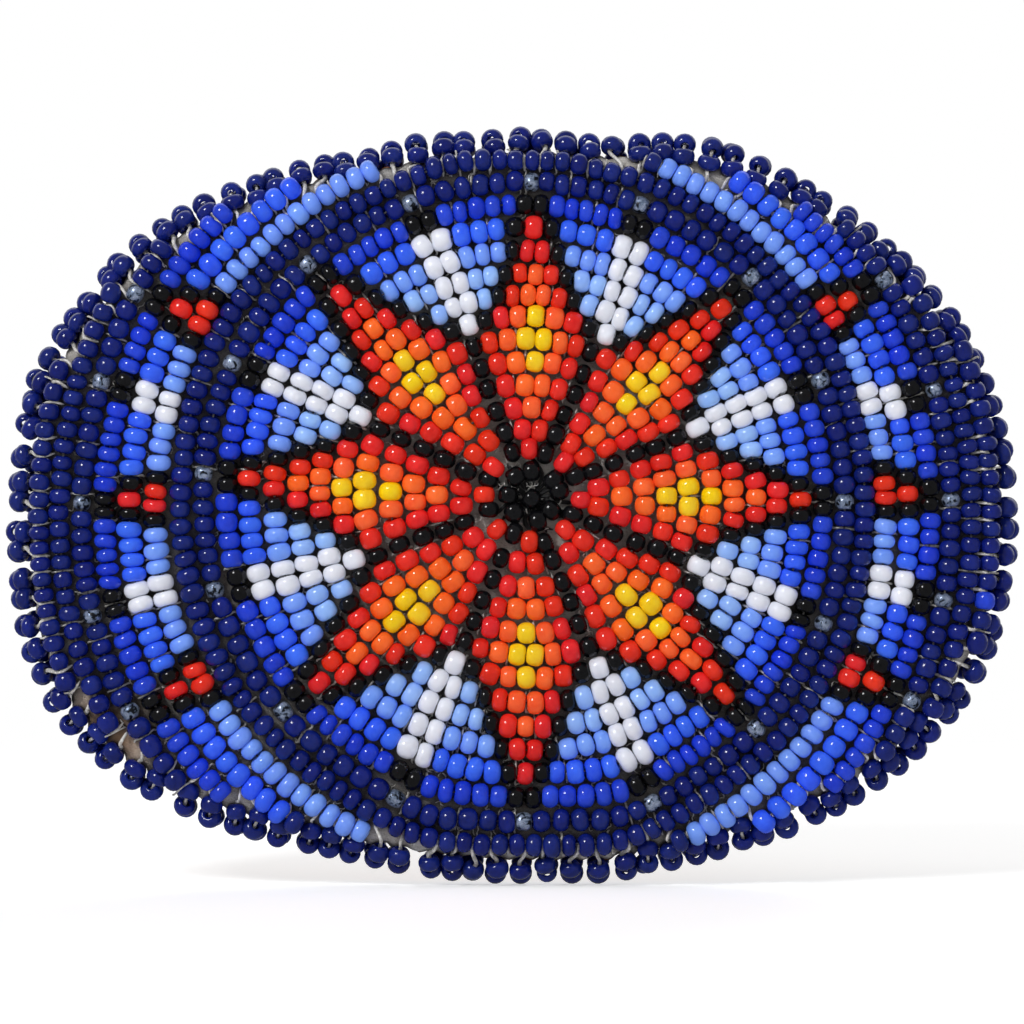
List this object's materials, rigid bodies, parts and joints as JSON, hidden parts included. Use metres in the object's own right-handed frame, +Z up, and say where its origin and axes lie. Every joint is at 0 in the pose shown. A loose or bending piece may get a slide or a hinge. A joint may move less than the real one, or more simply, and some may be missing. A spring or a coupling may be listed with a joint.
{
  "type": "belt buckle",
  "caption": "Oval beaded belt buckle: star-pattern seed-bead face on interfacing, steel plate, leather back, hinged strap loop and belt hook.",
  "frame": {"origin": "centre of the flat rear face of the leather back", "axes": "upright as worn: +X to the right as seen from the beaded face, +Z up, beaded face towards -Y, strap loop and belt hook towards +Y"},
  "size_m": [0.0954, 0.0145, 0.0714],
  "materials": {
    "bead_black": "opaque gloss glass",
    "bead_red": "opaque gloss glass",
    "bead_orange": "opaque gloss glass",
    "bead_pale_blue": "opaque gloss glass",
    "bead_cornflower": "opaque gloss glass",
    "bead_mid_blue": "opaque gloss glass",
    "bead_royal": "opaque gloss glass",
    "bead_navy": "opaque gloss glass",
    "interfacing": "matt felted non-woven",
    "plate_steel": "plain cut steel",
    "leather": "matt split leather",
    "plated_wire": "worn nickel plating",
    "plated_fitting": "worn nickel plating"
  },
  "bodies": {
    "buckle": {"centre_bead": "bead_black", "bead_lane_01": "bead_black", "bead_lane_02": "bead_red", "bead_lane_03": "bead_red", "bead_lane_04": "bead_red", "bead_lane_05": "bead_orange", "bead_lane_06": "bead_orange", "bead_lane_07": "bead_orange", "bead_lane_08": "bead_red", "bead_lane_09": "bead_pale_blue", "bead_lane_10": "bead_pale_blue", "bead_lane_11": "bead_cornflower", "bead_lane_12": "bead_mid_blue", "bead_lane_13": "bead_royal", "bead_lane_14": "bead_navy", "bead_lane_15": "bead_navy", "bead_lane_16_left": "bead_cornflower", "bead_lane_17_left": "bead_mid_blue", "bead_lane_18_left": "bead_royal", "bead_lane_19_left": "bead_navy", "bead_lane_20_left": "bead_navy", "bead_lane_21_left": "bead_navy", "bead_lane_16_right": "bead_cornflower", "bead_lane_17_right": "bead_mid_blue", "bead_lane_18_right": "bead_royal", "bead_lane_19_right": "bead_navy", "bead_lane_20_right": "bead_navy", "bead_lane_21_right": "bead_navy", "edge_beads_front": "bead_navy", "edge_beads_rim": "bead_navy", "edge_beads_back": "bead_navy", "beading_interfacing": "interfacing", "buckle_plate": "plate_steel", "leather_back": "leather", "hinge_block": "plated_fitting", "belt_hook": "plated_fitting"},
    "loop": {"strap_loop": "plated_wire"}
  },
  "joints": [
    {"name": "strap_loop_hinge", "type": "hinge", "parent": "buckle", "child": "loop", "pos_m": [0.0175, 0.00195, 0], "axis": [0, 0, 1], "range_deg": [0, 170]}
  ]
}
